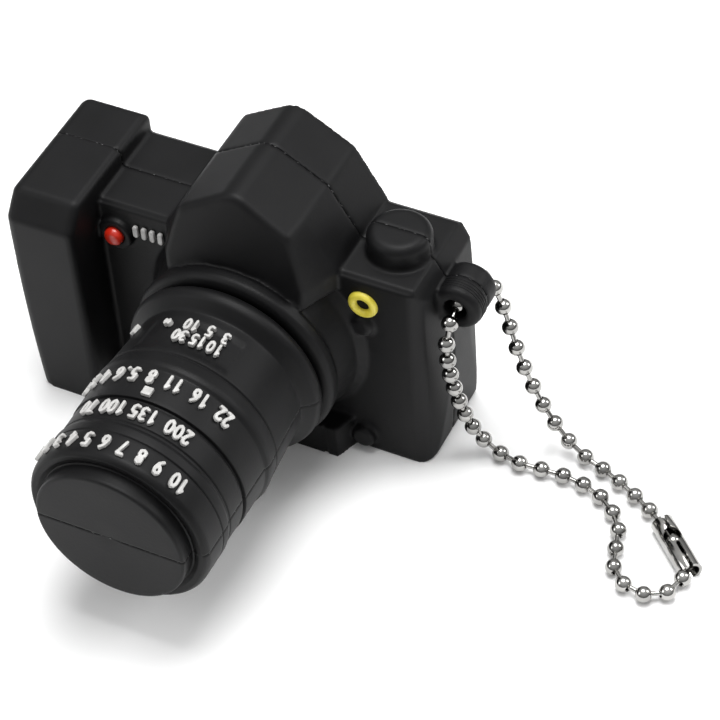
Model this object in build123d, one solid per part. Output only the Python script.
from build123d import *
from math import acos, atan2, cos, degrees, pi, radians, sin, tan
import os

os.makedirs("parts", exist_ok=True)

# All sizes in mm. X runs along the body from the grip to the chain lug, the lens
# points to -Y, Z is up, and the body stands on Z = 0. X = 0 is the lens axis and
# Y = 0 is the joint between the front and rear halves of the body.

# Body block
plate_top = 28.5
front_depth = 6.3
rear_depth = 7.0
step_x = -20.3
plate_right = 19.3
shoulder_drop = 2.3
shoulder_out = 1.3
side_bulge = 0.6
end_bulge = 1.5
rear_out = 0.9
rear_round = 0.8
foot_in = 0.1
foot_round = 0.7
corner_round = 1.8
lip_width = 0.55
lip_drop = 0.35

# Hand grip
grip_width = 9.1
grip_rise = 2.5
grip_front = 12.6
grip_bevel_y = 2.4
grip_bevel_z = 3.1
grip_bow = 0.9
grip_round = 1.4
grip_step_round = 0.9
grip_bevel_round = 1.2
grip_lap = 2.0

# Prism housing
prism_half_width = 10.95
eave_half_width = 7.1
eave_rise = 6.8
ridge_rise = 11.0
ridge_round = 3.0
eave_round = 2.0
nose_round = 0.9
nose_length = 4.9
nose_slope = 1.8
nose_taper = 2.3
nose_drop = 2.5

# Lens mount on the body
lens_z = 16.7
mount_length = 7.1
mount_base_r = 14.0
mount_neck_r = 12.9
flange_r = 12.7
flange_width = 2.3
flange_lip = 0.7

# Base block, winding dial, release bump, film knob, and how far they reach into the body
block_half_width = 10.5
block_flare = 1.1
block_front = 2.9
block_height = 4.7
block_groove = 0.5
block_groove_in = 1.6
block_root = 1.0
dial_in = 6.4
dial_z = 2.5
dial_r = 1.45
dial_rise = 1.1
bump_in = 5.7
bump_drop = 7.2
bump_r = 1.5
bump_rise = 0.8
knob_in = 3.5
knob_r = 3.85
knob_rise = 3.2
knob_round = 1.2
detail_root = 0.5
detail_round = 0.3

# Rear face relief
door_width = 30.0
door_height = 18.0
door_rise = 0.4
door_z = 13.5
door_round = 1.2
eyepiece_width = 8.0
eyepiece_height = 5.2
eyepiece_rise = 1.0
eyepiece_window = 3.4
eyepiece_depth = 0.8
eyepiece_up = 3.8

# Lug for the chain
lug_out = 3.0
lug_drop = 4.4
lug_r = 3.0
lug_hole_r = 1.4
lug_half_width = 2.7
lug_round = 0.75
lug_neck_height = 4.0
lug_neck_in = 0.5
lug_root = 1.5

# Inlays on the front face
button_out = 2.3
button_drop = 4.1
collar_r = 2.2
collar_rise = 0.9
button_r = 1.2
button_fit = 0.04
button_sink = 0.8
button_rise = 1.5
emblem_in = 5.4
emblem_drop = 3.8
emblem_r = 1.85
emblem_hole_r = 0.8
emblem_rise = 0.55
mark_out = 4.9
mark_drop = 3.1
mark_pitch = 1.1
mark_count = 4
mark_width = 0.65
mark_height = 1.7
mark_rise = 0.45

# Electronics case inside the body
case_half_width = 8.6
case_half_height = 4.1
case_front_y = -9.6
case_rear_y = 4.6
case_wall = 0.9
case_fit = 0.08

# USB plug, standard type A
plug_width = 12.0
plug_height = 4.5
plug_sheet = 0.3
plug_reach = 13.0
plug_root = 2.0
plug_corner = 0.5
plug_fit = 0.05
tongue_width = 11.1
tongue_height = 1.9
tongue_short = 0.4
tongue_base = 1.9
contact_width = 1.0
contact_sheet = 0.15
contact_inner_x = 1.0
contact_outer_x = 3.5
contact_short = 0.7
contact_tail = 1.2
detent_width = 2.5
detent_length = 2.0
detent_x = 2.6
detent_back = 5.2

# Circuit board and its parts
board_half_width = 7.2
board_thick = 0.8
board_gap = 0.1
board_rear_gap = 0.35
ledge_width = 0.9
ledge_gap = 1.0
memory_size = (9.0, 6.4, 1.0)
memory_at = (-1.6, 0.0)
controller_size = (6.0, 6.0, 0.85)
controller_at = (-1.0, -1.6)
crystal_size = (3.2, 2.5, 0.8)
crystal_at = (5.0, -3.0)
led_size = (1.6, 0.8, 0.6)
led_at = (5.2, 2.2)
capacitor_size = (1.0, 0.5, 0.5)
capacitor_top = [(4.6, 0.2), (6.2, 0.2)]
capacitor_under = [(4.2, -3.4), (4.2, -2.2), (4.2, -1.0), (-5.6, -3.0)]
resistor_size = (1.0, 0.5, 0.35)
resistor_under = [(4.2, 0.4), (4.2, 1.6), (-5.6, -1.0)]

# Lens cap: stations along the axis, measured as Y, with the outer radius there
cap_gap = 0.35
cap_rear_r = 11.5
torus_r = 12.3
torus_width = 2.9
barrel_rear_r = 10.7
barrel_mid_r = 11.5
barrel_step_y = -26.4
zoom_ring_r = 11.15
groove_y = -31.3
groove_width = 0.5
groove_depth = 0.45
focus_ring_r = 11.0
front_ring_y = -35.6
front_ring_r = 11.2
rim_y = -40.6
rim_r = 10.95
rim_round = 0.7
dish_r = 9.75
dish_y = -40.9
disc_r = 9.3
disc_y = -42.4
disc_round = 0.35
line_depth = 0.18
line_width = 0.25
fine_lines = (-24.2, -34.9, -36.9)
window_low_angle = 60.0
window_high_angle = 124.0
window_front_y = -23.2
window_rear_y = -18.4
window_depth = 0.18

# Inside the lens cap
rear_wall = 3.6
cavity_r = 8.6
web_y = -26.2
web_thick = 3.0
front_wall = 2.6
liner_wall = 1.0
liner_fit = 0.15
liner_hold = 0.05
liner_spare = 0.8
liner_end = 1.0

# Raised numerals on the lens cap
stroke_share = 0.225
numeral_rise = 0.48
numeral_height = 1.7
small_height = 1.45
numeral_slim = 0.62
numeral_pitch = 1.08
index_side = 1.15

# Ball chain and its stamped connector
chain_d = 2.0
chain_float = 0.05
chain_end_gap = 0.1
connector_over = 0.35
connector_sheet = 0.35
connector_clear = 0.04
connector_hole_r = 1.05
connector_hole_at = 0.36
connector_slit = 0.5

# Numeral outlines, as pen strokes on a cell 0.62 wide and 1 high
pen = {
    "0": [[(.31, 0), (.1, .1), (0, .35), (0, .65), (.1, .9), (.31, 1),
           (.52, .9), (.62, .65), (.62, .35), (.52, .1), (.31, 0)]],
    "1": [[(.12, .78), (.36, 1), (.36, 0)]],
    "2": [[(.02, .8), (.14, .96), (.34, 1), (.55, .9), (.6, .7), (.5, .5), (0, 0), (.62, 0)]],
    "3": [[(.04, .92), (.3, 1), (.54, .88), (.54, .64), (.26, .52)],
          [(.26, .52), (.58, .4), (.6, .14), (.32, 0), (.02, .08)]],
    "4": [[(.46, 0), (.46, 1), (0, .3), (.62, .3)]],
    "5": [[(.58, 1), (.1, 1), (.05, .56), (.34, .62), (.58, .48), (.6, .18), (.36, 0), (.02, .06)]],
    "6": [[(.52, 1), (.16, .76), (0, .36), (.1, .06), (.34, 0), (.56, .1),
           (.6, .34), (.42, .54), (.14, .48), (.02, .3)]],
    "7": [[(0, 1), (.6, 1), (.2, 0)]],
    "8": [[(.31, .54), (.06, .68), (.08, .92), (.31, 1), (.54, .92), (.56, .68), (.31, .54)],
          [(.31, .54), (.02, .38), (.04, .1), (.31, 0), (.58, .1), (.6, .38), (.31, .54)]],
    "9": [[(.1, 0), (.46, .24), (.62, .64), (.52, .94), (.28, 1), (.06, .9),
           (.02, .66), (.2, .46), (.48, .52), (.6, .7)]],
    ".": [[(.26, 0), (.36, .06)]],
    "~": [[(0, .5), (.12, .7), (.28, .62), (.5, .38), (.68, .3), (.8, .5),
           (.68, .7), (.5, .62), (.28, .38), (.12, .3), (0, .5)]],
    "m": [[(0, 0), (0, .7), (.22, .7), (.31, .5), (.31, 0)],
          [(.31, .5), (.4, .7), (.56, .7), (.62, .5), (.62, 0)]],
}

# Rows of numerals: text, centre angle on the barrel in degrees, Y of the row
near_row_y = -19.4
far_row_y = -21.4
aperture_row_y = -28.2
index_y = -30.3
index_angle = 92.0
focal_row_y = -33.3
front_row_y = -38.6
metre_row = [("3", 72), ("5", 82), ("10", 94), ("~", 110)]
feet_row = [("10", 74), ("15", 84.5), ("30", 96)]
unit_row = [("m", 141)]
aperture_row = [("22 16 11 8 5.6 4 2.8", 98)]
focal_row = [("200", 64), ("135", 86), ("100", 106), ("70", 124)]
front_row = [("10 9 8 7 6 5 4 3 2 1", 98)]

grip_left = step_x - grip_width
chain_lie = chain_d / 2 + chain_float
grip_top = plate_top + grip_rise
shoulder_x = plate_right + shoulder_out
eave_top = plate_top + eave_rise
ridge_top = plate_top + ridge_rise
eyepiece_z = plate_top + eyepiece_up
bump_x = plate_right - bump_in
bump_z = plate_top - bump_drop
dial_x = plate_right - dial_in
knob_x = plate_right - knob_in
lug_x = shoulder_x + lug_out
lug_z = plate_top - lug_drop
button_x = step_x + button_out
button_z = plate_top - button_drop
emblem_x = plate_right - emblem_in
emblem_z = plate_top - emblem_drop
mark_first_x = step_x + mark_out
mark_z = plate_top - mark_drop
mount_face_y = -front_depth - mount_length
cap_rear_y = mount_face_y - cap_gap
plug_tip_y = mount_face_y - plug_reach
plug_rear_y = case_front_y + plug_root
board_top = lens_z - contact_sheet
board_low = board_top - board_thick
board_front_y = plug_rear_y + board_gap
board_rear_y = case_rear_y - case_wall - board_rear_gap


def block(x0, x1, y0, y1, z0, z1):
    size = (x1 - x0, y1 - y0, z1 - z0)
    middle = ((x0 + x1) / 2, (y0 + y1) / 2, (z0 + z1) / 2)
    return Pos(*middle) * Box(*size)


def along_y(sketch, y0, y1):
    """Extrude an XZ outline from y0 to y1."""
    return Pos(0, y0, 0) * extrude(sketch, amount=y1 - y0, dir=(0, 1, 0))


def rod_y(x, z, r, y0, y1):
    return Pos(x, (y0 + y1) / 2, z) * Rot(90, 0, 0) * Cylinder(r, abs(y1 - y0))


def xz_face(points):
    return make_face(Polyline([(x, 0, z) for x, z in points], close=True))


def turned(points):
    """Turn a (Y, radius) outline about the lens axis."""
    outline = make_face(Polyline([(r, y, 0) for y, r in points], close=True))
    return Pos(0, 0, lens_z) * revolve(outline, axis=Axis.Y)


def main_block():
    front = -front_depth
    right = shoulder_x
    rear_right = right + rear_out
    plan = make_face([
        Line((grip_left + grip_lap, front), (right, front)),
        ThreePointArc((right, front), (right + end_bulge, rear_depth * 0.35), (rear_right, rear_depth)),
        Line((rear_right, rear_depth), (grip_left + grip_lap, rear_depth)),
        Line((grip_left + grip_lap, rear_depth), (grip_left + grip_lap, front)),
    ])
    front_corner = [v for v in plan.vertices() if v.X > plate_right and v.Y < 0]
    plan = plan.face().fillet_2d(corner_round, front_corner)
    rear_corner = [v for v in plan.vertices() if v.X > plate_right and v.Y > rear_depth - 0.01]
    plan = plan.fillet_2d(rear_round, rear_corner)
    shoulder_z = plate_top - shoulder_drop
    elevation = make_face([
        Line((grip_left + grip_lap, 0, 0), (shoulder_x - foot_in, 0, 0)),
        ThreePointArc(
            (shoulder_x - foot_in, 0, 0),
            (shoulder_x + side_bulge, 0, shoulder_z / 2),
            (shoulder_x, 0, shoulder_z),
        ),
        Line((shoulder_x, 0, shoulder_z), (plate_right, 0, plate_top)),
        Line((plate_right, 0, plate_top), (grip_left + grip_lap, 0, plate_top)),
        Line((grip_left + grip_lap, 0, plate_top), (grip_left + grip_lap, 0, 0)),
    ])
    foot = [v for v in elevation.vertices() if v.X > plate_right and v.Z < 1]
    elevation = elevation.face().fillet_2d(foot_round, foot)
    swell = Pos(end_bulge / 2, 0, 0) * along_y(elevation, -front_depth, rear_depth)
    core = along_y(elevation, -front_depth, rear_depth)
    shape = extrude(plan, plate_top) & (core + swell)
    lip_low = plate_top - lip_drop
    front_lip = block(step_x, right, -front_depth, -front_depth + lip_width, lip_low, plate_top)
    rear_lip = block(step_x, right, rear_depth - lip_width, rear_depth, lip_low, plate_top)
    return shape - front_lip - rear_lip


def grip():
    front = -grip_front
    side = make_face(Polyline([
        (0, rear_depth, 0),
        (0, front, 0),
        (0, front, grip_top - grip_bevel_z),
        (0, front + grip_bevel_y, grip_top),
        (0, rear_depth, grip_top),
    ], close=True))
    body = Pos(grip_left - grip_bow, 0, 0) * extrude(side, grip_width + grip_bow, dir=(1, 0, 0))
    elevation = make_face([
        Line((step_x, 0, 0), (grip_left + grip_bow, 0, 0)),
        ThreePointArc(
            (grip_left + grip_bow, 0, 0),
            (grip_left, 0, grip_top * 0.6),
            (grip_left + grip_bow * 0.1, 0, grip_top),
        ),
        Line((grip_left + grip_bow * 0.1, 0, grip_top), (step_x, 0, grip_top)),
        Line((step_x, 0, grip_top), (step_x, 0, 0)),
    ])
    shape = body & along_y(elevation, front, rear_depth)
    level = shape.edges().filter_by(Axis.X)
    bevel = level.filter_by(lambda e: e.center().Y < -grip_bevel_y and e.center().Z > grip_top * 0.8)
    shape = fillet(bevel, grip_bevel_round)
    outer = shape.edges().filter_by(lambda e: e.center().X < grip_left + 1.0)
    shape = fillet(outer, grip_round)
    upper = shape.edges().filter_by(lambda e: e.center().Z > grip_top - 0.01)
    rim = upper.filter_by(lambda e: e.center().X > step_x - 0.01 or e.center().Y > rear_depth - 0.01)
    return fillet(rim, grip_step_round)


def prism_outline(half_width, y):
    low = plate_top - nose_drop
    points = [
        (-half_width, low),
        (-half_width, plate_top),
        (-eave_half_width, eave_top),
        (0, ridge_top),
        (eave_half_width, eave_top),
        (half_width, plate_top),
        (half_width, low),
    ]
    face = Face(Wire.make_polygon([(x, y, z) for x, z in points], close=True))
    ridge = [v for v in face.vertices() if v.Z > ridge_top - 0.01]
    face = face.fillet_2d(ridge_round, ridge)
    eaves = [v for v in face.vertices() if abs(v.Z - eave_top) < 0.01]
    return face.fillet_2d(eave_round, eaves)


def prism():
    rear = extrude(prism_outline(prism_half_width, rear_depth), rear_depth + front_depth, dir=(0, -1, 0))
    nose_y = -front_depth - nose_length
    wide = prism_outline(prism_half_width, -front_depth)
    narrow = prism_outline(prism_half_width - nose_taper, nose_y)
    nose = loft([wide, narrow])
    low = plate_top - nose_drop
    slope = make_face(Polyline([
        (0, nose_y - 1, low - 1),
        (0, nose_y, low - 1),
        (0, nose_y, low),
        (0, nose_y + nose_slope, ridge_top),
        (0, nose_y + nose_slope, ridge_top + 1),
        (0, nose_y - 1, ridge_top + 1),
    ], close=True))
    half = prism_half_width + 1
    wedge = Pos(-half, 0, 0) * extrude(slope, 2 * half, dir=(1, 0, 0))
    nose = nose - wedge
    rim = nose.edges().filter_by(lambda e: e.center().Y < -front_depth - 0.8 and e.center().Z > low + 0.5)
    rim = rim.filter_by(lambda e: abs(e.tangent_at(0.5).Y) < 0.6)
    nose = fillet(rim, nose_round)
    return rear + nose


def mount_boss():
    back = -front_depth + block_root
    flange_back = mount_face_y + flange_width
    return turned([
        (back, 0),
        (back, mount_base_r),
        (-front_depth, mount_base_r),
        (-front_depth - 1.0, mount_base_r - 0.9),
        (flange_back + 0.5, mount_neck_r - 0.7),
        (flange_back, mount_neck_r - 0.7),
        (flange_back - flange_lip / 2, flange_r),
        (mount_face_y + flange_lip, flange_r),
        (mount_face_y + flange_lip / 3, flange_r - flange_lip / 2),
        (mount_face_y, flange_r - flange_lip - 0.3),
        (mount_face_y, 0),
    ])


def base_block():
    front = -front_depth - block_front
    plan = make_face(Polyline([
        (-block_half_width - block_flare, -front_depth + block_root),
        (-block_half_width - block_flare, -front_depth),
        (-block_half_width, front),
        (block_half_width, front),
        (block_half_width + block_flare, -front_depth),
        (block_half_width + block_flare, -front_depth + block_root),
    ], close=True))
    shape = extrude(plan, block_height)
    for side in (-1, 1):
        x = side * (block_half_width - block_groove_in)
        half = block_groove / 2
        shape = shape - block(x - half, x + half, front, front + block_groove, 0, block_height)
    return shape


def knob():
    low = plate_top - detail_root
    shape = Pos(knob_x, 0, (low + plate_top + knob_rise) / 2) * Cylinder(knob_r, knob_rise + detail_root)
    return fillet(shape.edges().filter_by(GeomType.CIRCLE).sort_by(Axis.Z)[-1], knob_round)


def lug():
    ring = rod_y(lug_x, lug_z, lug_r, -lug_half_width, lug_half_width)
    ring = fillet(ring.edges().filter_by(GeomType.CIRCLE), lug_round)
    half_w = lug_half_width - lug_neck_in
    half_h = lug_neck_height / 2
    neck = block(shoulder_x - lug_root, lug_x, -half_w, half_w, lug_z - half_h, lug_z + half_h)
    hole = rod_y(lug_x, lug_z, lug_hole_r, -lug_half_width, lug_half_width)
    return ring + neck - hole


def rear_relief():
    face = RectangleRounded(door_width, door_height, door_round)
    door = Pos(0, rear_depth + door_rise, door_z) * Rot(90, 0, 0) * extrude(face, door_rise)
    rim_y1 = rear_depth + eyepiece_rise
    half = eyepiece_width / 2
    low = eyepiece_z - eyepiece_height / 2
    eyepiece = block(-half, half, rear_depth, rim_y1, low, low + eyepiece_height)
    hollow_half = half - 1.2
    window_low = eyepiece_z - eyepiece_window / 2
    window_y0 = rim_y1 - eyepiece_depth
    window = block(-hollow_half, hollow_half, window_y0, rim_y1, window_low, window_low + eyepiece_window)
    return door + (eyepiece - window)


def front_details():
    dial = rod_y(dial_x, dial_z, dial_r, -front_depth - dial_rise, -front_depth + detail_root)
    front_edge = dial.edges().filter_by(GeomType.CIRCLE).sort_by(Axis.Y)[0]
    dial = fillet(front_edge, detail_round)
    bump = rod_y(bump_x, bump_z, bump_r, -front_depth - bump_rise, -front_depth + detail_root)
    bump = fillet(bump.edges().filter_by(GeomType.CIRCLE).sort_by(Axis.Y)[0], bump_rise * 0.85)
    collar = rod_y(button_x, button_z, collar_r, -front_depth - collar_rise, -front_depth + detail_root)
    collar = fillet(collar.edges().filter_by(GeomType.CIRCLE).sort_by(Axis.Y)[0], detail_round)
    return dial + bump + collar


def body_solid():
    main = main_block() + grip() + prism() + mount_boss() + base_block()
    shape = main + knob() + lug() + rear_relief() + front_details()
    pocket = block(
        -case_half_width - case_fit,
        case_half_width + case_fit,
        case_front_y - case_fit,
        case_rear_y + case_fit,
        lens_z - case_half_height - case_fit,
        lens_z + case_half_height + case_fit,
    )
    half_w = plug_width / 2 + plug_fit
    half_h = plug_height / 2 + plug_fit
    slot = block(-half_w, half_w, mount_face_y - 1, case_front_y, lens_z - half_h, lens_z + half_h)
    recess_y = -front_depth - collar_rise
    recess = rod_y(button_x, button_z, button_r + button_fit, recess_y, recess_y + button_sink)
    return shape - pocket - slot - recess


def half_of(shape, side):
    """The part of a shape on one side of the Y = 0 joint."""
    far = 60
    y0, y1 = (-far, 0) if side < 0 else (0, far)
    return shape & block(-far, far, y0, y1, -1, far)


def red_button():
    back = -front_depth - collar_rise + button_sink
    front = back - button_sink - button_rise * 0.6
    shape = rod_y(button_x, button_z, button_r, front, back)
    edge = shape.edges().filter_by(GeomType.CIRCLE).sort_by(Axis.Y)[0]
    return fillet(edge, button_r * 0.6)


def ring_emblem():
    front = -front_depth - emblem_rise
    outer = rod_y(emblem_x, emblem_z, emblem_r, front, -front_depth)
    outer = fillet(outer.edges().filter_by(GeomType.CIRCLE).sort_by(Axis.Y)[0], emblem_rise * 0.6)
    return outer - rod_y(emblem_x, emblem_z, emblem_hole_r, front, -front_depth)


def front_marks():
    marks = []
    for i in range(mark_count):
        x = mark_first_x + i * mark_pitch
        stroke = SlotOverall(mark_height, mark_width, rotation=90)
        outline = Pos(x, -front_depth, mark_z) * Rot(90, 0, 0) * stroke
        marks.append(extrude(outline, mark_rise, dir=(0, -1, 0)))
    return Compound(children=marks)


def case_half(side):
    half_w = case_half_width
    low, high = lens_z - case_half_height, lens_z + case_half_height
    outer = block(-half_w, half_w, case_front_y, case_rear_y, low, high)
    inner = block(
        -half_w + case_wall,
        half_w - case_wall,
        case_front_y + case_wall,
        case_rear_y - case_wall,
        low + case_wall,
        high - case_wall,
    )
    slot_w = plug_width / 2 + plug_fit
    slot_h = plug_height / 2 + plug_fit
    slot_y = case_front_y + case_wall
    slot = block(-slot_w, slot_w, case_front_y, slot_y, lens_z - slot_h, lens_z + slot_h)
    shell = outer - inner - slot
    if side > 0:
        return shell & block(-50, 50, -50, 50, lens_z, lens_z + 50)
    ledge_rear = case_rear_y - case_wall
    for x_side in (-1, 1):
        x0, x1 = sorted((x_side * (half_w - case_wall), x_side * (board_half_width - ledge_width)))
        ledge = block(x0, x1, board_front_y + ledge_gap, ledge_rear, low + case_wall, board_low)
        shell = shell + ledge
    return shell & block(-50, 50, -50, 50, lens_z - 50, lens_z)


def plug_shell():
    outer = RectangleRounded(plug_width, plug_height, plug_corner)
    inner_w = plug_width - 2 * plug_sheet
    inner_h = plug_height - 2 * plug_sheet
    inner = RectangleRounded(inner_w, inner_h, plug_corner - plug_sheet)
    length = plug_rear_y - plug_tip_y
    tube = Pos(0, plug_rear_y, lens_z) * Rot(90, 0, 0) * extrude(outer - inner, length)
    for x_side in (-1, 1):
        x0 = x_side * detent_x - detent_width / 2
        y0 = plug_tip_y + detent_back
        low, high = lens_z - plug_height, lens_z + plug_height
        tube = tube - block(x0, x0 + detent_width, y0, y0 + detent_length, low, high)
    return tube


def plug_tongue():
    half = tongue_width / 2
    tip = plug_tip_y + tongue_short
    blade = block(-half, half, tip, plug_rear_y, lens_z, lens_z + tongue_height)
    inner_w = plug_width - 2 * plug_sheet
    inner_h = plug_height - 2 * plug_sheet
    face = RectangleRounded(inner_w, inner_h, plug_corner - plug_sheet)
    foot = Pos(0, plug_rear_y, lens_z) * Rot(90, 0, 0) * extrude(face, tongue_base)
    shape = blade + foot
    for x in contact_positions():
        shape = shape - contact_strip(x)
    return shape


def contact_positions():
    return [-contact_outer_x, -contact_inner_x, contact_inner_x, contact_outer_x]


def contact_strip(x):
    half = contact_width / 2
    y0 = plug_tip_y + tongue_short + contact_short
    y1 = board_front_y + contact_tail
    return block(x - half, x + half, y0, y1, lens_z - contact_sheet, lens_z)


def contacts():
    return Compound(children=[contact_strip(x) for x in contact_positions()])


def board():
    return block(-board_half_width, board_half_width, board_front_y, board_rear_y, board_low, board_top)


def chip(size, at, top):
    sx, sy, sz = size
    x, y = at
    z0 = board_top if top else board_low - sz
    return block(x - sx / 2, x + sx / 2, y - sy / 2, y + sy / 2, z0, z0 + sz)


def capacitors():
    over = [chip(capacitor_size, at, True) for at in capacitor_top]
    under = [chip(capacitor_size, at, False) for at in capacitor_under]
    return Compound(children=over + under)


def resistors():
    return Compound(children=[chip(resistor_size, at, False) for at in resistor_under])


def cap_profile():
    torus_front = cap_rear_y - torus_width
    groove_end = groove_y - groove_width
    return [
        (cap_rear_y, 0),
        (cap_rear_y, cap_rear_r),
        (cap_rear_y - torus_width * 0.22, torus_r - 0.15),
        (cap_rear_y - torus_width * 0.45, torus_r),
        (cap_rear_y - torus_width * 0.7, torus_r - 0.25),
        (torus_front, barrel_rear_r + 0.3),
        (torus_front - 0.3, barrel_rear_r),
        (barrel_step_y + 0.5, barrel_mid_r),
        (barrel_step_y, barrel_mid_r - 0.1),
        (barrel_step_y - 0.4, zoom_ring_r),
        (groove_y, zoom_ring_r),
        (groove_y, zoom_ring_r - groove_depth),
        (groove_end, zoom_ring_r - groove_depth),
        (groove_end, focus_ring_r),
        (front_ring_y + 0.4, focus_ring_r),
        (front_ring_y, front_ring_r),
        (rim_y + rim_round, front_ring_r),
        (rim_y + rim_round * 0.3, rim_r),
        (rim_y, rim_r - rim_round * 0.4),
        (rim_y, dish_r + 0.5),
        (dish_y + 0.05, dish_r),
        (dish_y - 0.1, disc_r + 0.2),
        (dish_y - 0.5, disc_r),
        (disc_y + disc_round, disc_r),
        (disc_y + disc_round * 0.3, disc_r - disc_round * 0.3),
        (disc_y, disc_r - disc_round),
        (disc_y, 0),
    ]


def cap_solid():
    shape = turned(cap_profile())
    for y in fine_lines:
        ring = rod_y(0, lens_z, 20, y, y + line_width)
        core = rod_y(0, lens_z, barrel_radius(y) - line_depth, y, y + line_width)
        shape = shape - (ring - core)
    corners = [(0, lens_z)]
    for share in (0, 0.5, 1):
        angle = radians(window_low_angle + share * (window_high_angle - window_low_angle))
        corners.append((30 * cos(angle), lens_z + 30 * sin(angle)))
    sector = along_y(xz_face(corners), window_front_y, window_rear_y)
    floor_r = barrel_radius(window_rear_y) - window_depth
    sunk = turned([
        (window_rear_y, floor_r),
        (window_rear_y, 20),
        (window_front_y, 20),
        (window_front_y, floor_r + barrel_radius(window_front_y) - barrel_radius(window_rear_y)),
    ])
    shape = shape - (sunk & sector)
    front_y = disc_y + front_wall
    cavity = rod_y(0, lens_z, cavity_r, cap_rear_y - rear_wall, web_y)
    cavity = cavity + rod_y(0, lens_z, cavity_r, web_y - web_thick, front_y)
    pocket_w = liner_half_width() + liner_hold
    pocket_h = liner_half_height() + liner_hold
    pocket_end = liner_front_y() - liner_hold
    pocket = block(-pocket_w, pocket_w, pocket_end, cap_rear_y, lens_z - pocket_h, lens_z + pocket_h)
    return shape - cavity - pocket


def barrel_radius(y):
    """Outer radius of the lens cap at a station along the axis."""
    previous = None
    for station in cap_profile():
        if previous is not None and previous[0] > station[0] and previous[0] >= y >= station[0]:
            share = (previous[0] - y) / (previous[0] - station[0])
            return previous[1] + share * (station[1] - previous[1])
        previous = station
    return rim_r


def cap_half(shape, side):
    z0, z1 = (lens_z, lens_z + 30) if side > 0 else (lens_z - 30, lens_z)
    return shape & block(-30, 30, disc_y - 1, cap_rear_y + 1, z0, z1)


def liner_half_width():
    return plug_width / 2 + liner_fit + liner_wall


def liner_half_height():
    return plug_height / 2 + liner_fit + liner_wall


def liner_front_y():
    return plug_tip_y - liner_spare - liner_end


def plug_socket():
    half_w = liner_half_width()
    half_h = liner_half_height()
    outer = block(-half_w, half_w, liner_front_y(), cap_rear_y, lens_z - half_h, lens_z + half_h)
    hole_w = half_w - liner_wall
    hole_h = half_h - liner_wall
    hole_end = liner_front_y() + liner_end
    hole = block(-hole_w, hole_w, hole_end, cap_rear_y, lens_z - hole_h, lens_z + hole_h)
    return outer - hole


def numeral(character, height):
    """One character as a flat pad, its foot on Y = 0 and its middle on X = 0."""
    stroke = stroke_share * height
    pads = []
    for points in pen[character]:
        scaled = [((x - 0.31) * height * numeral_slim, y * height) for x, y in points]
        for a, b in zip(scaled[:-1], scaled[1:]):
            dx, dy = b[0] - a[0], b[1] - a[1]
            span = (dx * dx + dy * dy) ** 0.5
            turn = degrees(acos(dx / span)) * (1 if dy >= 0 else -1)
            middle = Pos((a[0] + b[0]) / 2, (a[1] + b[1]) / 2)
            pads.append(middle * Rot(0, 0, turn) * SlotCenterToCenter(span, stroke))
    shape = pads[0]
    for pad in pads[1:]:
        shape = shape + pad
    return shape


def numeral_row(row, y, height):
    """Characters wrapped on the barrel, tops to -Y, read from +X to -X."""
    radius = barrel_radius(y)
    core = rod_y(0, lens_z, radius - 0.6, y - height, y + height)
    solids = []
    step = degrees(numeral_pitch * height / numeral_height / radius)
    for text, angle in row:
        first = angle - step * (len(text) - 1) / 2
        for i, character in enumerate(text):
            if character == " ":
                continue
            place = first + i * step
            flat = Rot(0, 0, 180) * Pos(0, -height / 2) * numeral(character, height)
            pad = extrude(flat, radius + numeral_rise)
            pad = Pos(0, y, lens_z) * Rot(0, 90 - place, 0) * pad
            outer = rod_y(0, lens_z, radius + numeral_rise, y - height, y + height)
            pad = (pad & outer) - core - whole_cap
            solids.extend(pad.solids())
    return solids


def index_mark():
    radius = barrel_radius(index_y)
    half = index_side / 2
    pad = block(-half, half, index_y - half, index_y + half, 0, radius + numeral_rise)
    pad = Pos(0, 0, lens_z) * Rot(0, 90 - index_angle, 0) * pad
    return pad - rod_y(0, lens_z, radius, index_y - 2, index_y + 2)


# Centre line of the chain: out of the lug at the back, down to the surface, through
# the connector, round on the surface, up in front and into the lug again
connector_tail = (lug_x + 26.5, -4.7)
connector_nose = (lug_x + 31.7, -9.7)
chain_route = [
    (lug_x, chain_end_gap, lug_z),
    (lug_x, lug_half_width + 2.2, lug_z),
    (lug_x + 2.4, 5.1, lug_z * 0.785),
    (lug_x + 5.0, 3.4, lug_z * 0.523),
    (lug_x + 8.5, 2.7, lug_z * 0.232),
    (lug_x + 12.9, 1.8, chain_lie),
    (lug_x + 18.5, -0.1, chain_lie),
    (lug_x + 22.9, -2.4, chain_lie),
    (connector_tail[0], connector_tail[1], chain_lie),
    (connector_nose[0], connector_nose[1], chain_lie),
    (lug_x + 31.0, -14.0, chain_lie),
    (lug_x + 26.9, -15.6, chain_lie),
    (lug_x + 23.0, -12.6, chain_lie),
    (lug_x + 22.6, -7.6, chain_lie),
    (lug_x + 18.7, -3.4, chain_lie),
    (lug_x + 12.9, -2.0, chain_lie),
    (lug_x + 7.1, -2.8, chain_lie),
    (lug_x + 2.9, -1.3, chain_lie),
    (lug_x + 1.1, -2.6, lug_z * 0.232),
    (lug_x + 0.1, -4.0, lug_z * 0.506),
    (lug_x - 0.1, -5.2, lug_z * 0.772),
    (lug_x, -lug_half_width - 2.2, lug_z),
    (lug_x, -chain_end_gap, lug_z),
]


def bend_radii(route):
    radii = []
    for a, b, c in zip(route[:-2], route[1:-1], route[2:]):
        first, second = Vector(*b) - Vector(*a), Vector(*c) - Vector(*b)
        half_turn = radians(first.get_angle(second)) / 2
        radii.append(0.45 * min(first.length, second.length) / tan(half_turn))
    return radii


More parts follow.
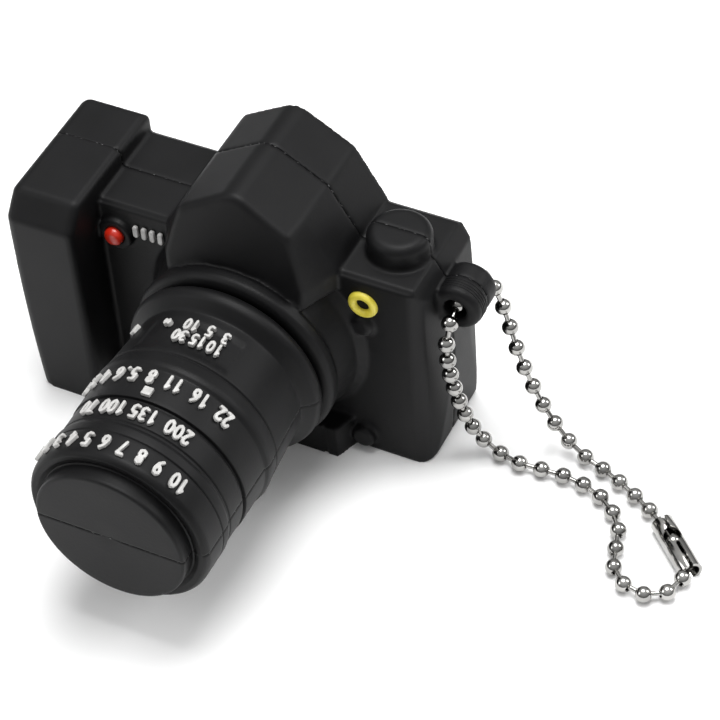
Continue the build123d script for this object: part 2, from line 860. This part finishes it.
def chain():
    radii = bend_radii(chain_route)
    path = FilletPolyline(*chain_route, radius=radii)
    line = path if isinstance(path, Wire) else Wire(path.edges())
    section = Plane(origin=line @ 0, z_dir=line % 0) * Circle(chain_d / 2)
    tube = sweep(section, path=line)
    print("chain bend radii:", [round(r, 2) for r in radii])
    print("chain length:", round(line.length, 2), "tube volume:", round(tube.volume, 2),
          "section x length:", round(pi * chain_d ** 2 / 4 * line.length, 2))
    return tube


def chain_connector():
    """A trough pressed from sheet, closed round the chain's two end balls."""
    tail, nose = Vector(*connector_tail), Vector(*connector_nose)
    along = nose - tail
    turn = degrees(atan2(along.Y, along.X))
    length = along.length + 2 * connector_over
    inner_r = chain_d / 2 + connector_clear
    outer_r = inner_r + connector_sheet
    tube = Rot(0, 90, 0) * (Cylinder(outer_r, length) - Cylinder(inner_r, length))
    hole_x = (connector_hole_at - 0.5) * length
    hole = Pos(hole_x, 0, outer_r) * Cylinder(connector_hole_r, outer_r * 2)
    slit = Pos(0, 0, outer_r) * Box(length, connector_slit, outer_r)
    surface = block(-length, length, -outer_r, outer_r, -chain_lie, outer_r)
    middle = (tail + nose) * 0.5
    trough = (tube & surface) - hole - slit
    return Pos(middle.X, middle.Y, chain_lie) * Rot(0, 0, turn) * trough


whole_body = body_solid()
whole_cap = cap_solid()

nodes = {
    "body_front_shell": half_of(whole_body, -1),
    "body_rear_shell": half_of(whole_body, 1),
    "red_button": red_button(),
    "ring_emblem": ring_emblem(),
    "front_marks": front_marks(),
    "case_upper": case_half(1),
    "case_lower": case_half(-1),
    "usb_plug_shell": plug_shell(),
    "usb_plug_tongue": plug_tongue(),
    "usb_contacts": contacts(),
    "circuit_board": board(),
    "memory_chip": chip(memory_size, memory_at, True),
    "controller_chip": chip(controller_size, controller_at, False),
    "crystal": chip(crystal_size, crystal_at, True),
    "activity_led": chip(led_size, led_at, True),
    "capacitors": capacitors(),
    "resistors": resistors(),
    "lens_upper_half": cap_half(whole_cap, 1),
    "lens_lower_half": cap_half(whole_cap, -1),
    "plug_socket": plug_socket(),
    "distance_numerals": Compound(children=(
        numeral_row(metre_row, near_row_y, small_height)
        + numeral_row(feet_row, far_row_y, small_height)
        + numeral_row(unit_row, near_row_y, small_height)
    )),
    "aperture_numerals": Compound(children=numeral_row(aperture_row, aperture_row_y, numeral_height)),
    "focal_numerals": Compound(children=numeral_row(focal_row, focal_row_y, numeral_height)),
    "front_numerals": Compound(children=numeral_row(front_row, front_row_y, numeral_height)),
    "index_mark": index_mark(),
    "ball_chain": chain(),
    "chain_connector": chain_connector(),
}

for name, shape in nodes.items():
    export_step(shape, f"parts/{name}.step")
    print(name, round(shape.volume, 3), len(shape.solids()))
